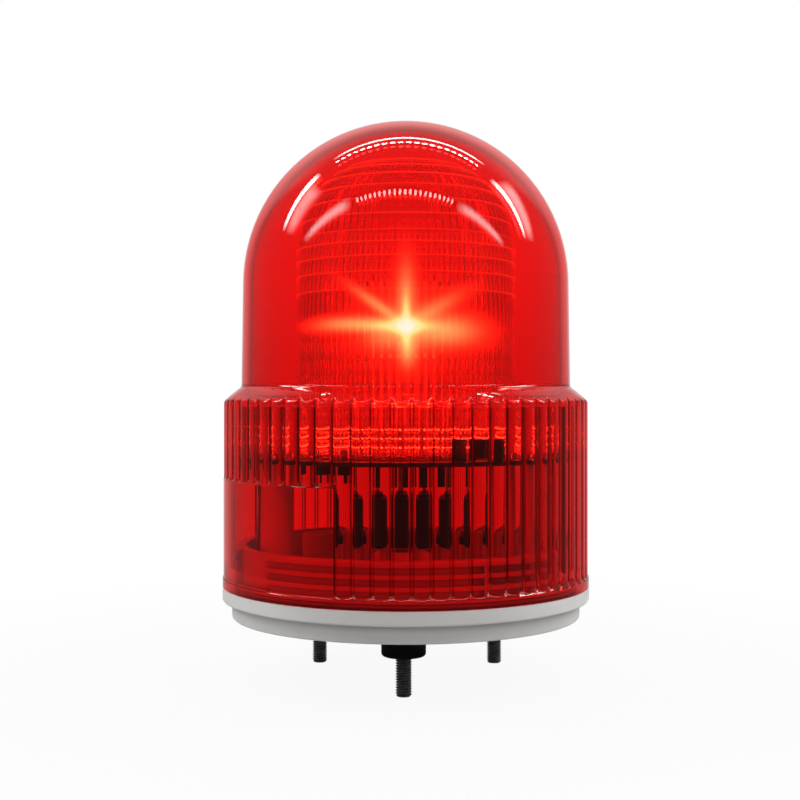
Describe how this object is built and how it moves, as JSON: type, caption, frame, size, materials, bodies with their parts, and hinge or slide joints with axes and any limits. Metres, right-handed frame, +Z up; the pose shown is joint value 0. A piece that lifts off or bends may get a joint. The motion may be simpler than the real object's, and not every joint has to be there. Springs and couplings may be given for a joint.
{
  "type": "sound and light alarm",
  "caption": "Red signal beacon: a domed, fluted lens that twists onto a white base over a lamp and a sounder, fixed to a panel by threaded studs.",
  "frame": {"origin": "centre of the stud circle, in the plane of the rubber feet's undersides, where the panel is", "axes": "+Z up through the dome, along the studs and the lens's turning axis; -Y to the front, where one stud stands; +X to the right seen from the front"},
  "size_m": [0.146, 0.146, 0.2205],
  "materials": {
    "red_lens": "clear red, polished",
    "red_prism_lens": "clear red, moulded prisms",
    "white_moulding": "moulded, fine texture",
    "black_rubber": "moulded, matt",
    "black_steel": "black oxide",
    "plated_steel": "zinc plated",
    "black_plastic": "moulded, satin",
    "wire_cover": "extruded",
    "circuit_board": "solder mask",
    "bare_aluminium": "extruded",
    "led_board": "white solder mask",
    "led_lens": "clear, lit"
  },
  "bodies": {
    "base": {"seal_ring": "black_rubber", "base_housing": "white_moulding", "rubber_feet": "black_rubber", "mounting_studs": "black_steel", "cable_grommet": "black_rubber", "supply_terminal": "black_plastic", "supply_wires": "wire_cover", "wire_socket": "black_plastic", "sounder_case": "black_plastic", "sounder_screws": "plated_steel", "sounder_leads": "wire_cover", "main_board": "circuit_board", "board_screws": "plated_steel", "driver_module": "black_plastic", "pin_header": "black_plastic", "capacitors": "black_plastic", "inner_lens": "red_prism_lens", "inner_lens_screws": "plated_steel", "lamp_post": "white_moulding", "heat_sink": "bare_aluminium", "heat_sink_bolt": "plated_steel", "led_board_1": "led_board", "led_board_2": "led_board", "led_board_3": "led_board", "led_board_4": "led_board", "led_board_5": "led_board", "led_board_6": "led_board", "led_board_screws": "plated_steel", "led_emitters": "led_lens"},
    "lens": {"outer_lens": "red_lens"}
  },
  "joints": [
    {"name": "lens_twist", "type": "hinge", "parent": "base", "child": "lens", "pos_m": [0, 0, 0.0212], "axis": [0, 0, 1], "range_deg": [0, 30]}
  ]
}
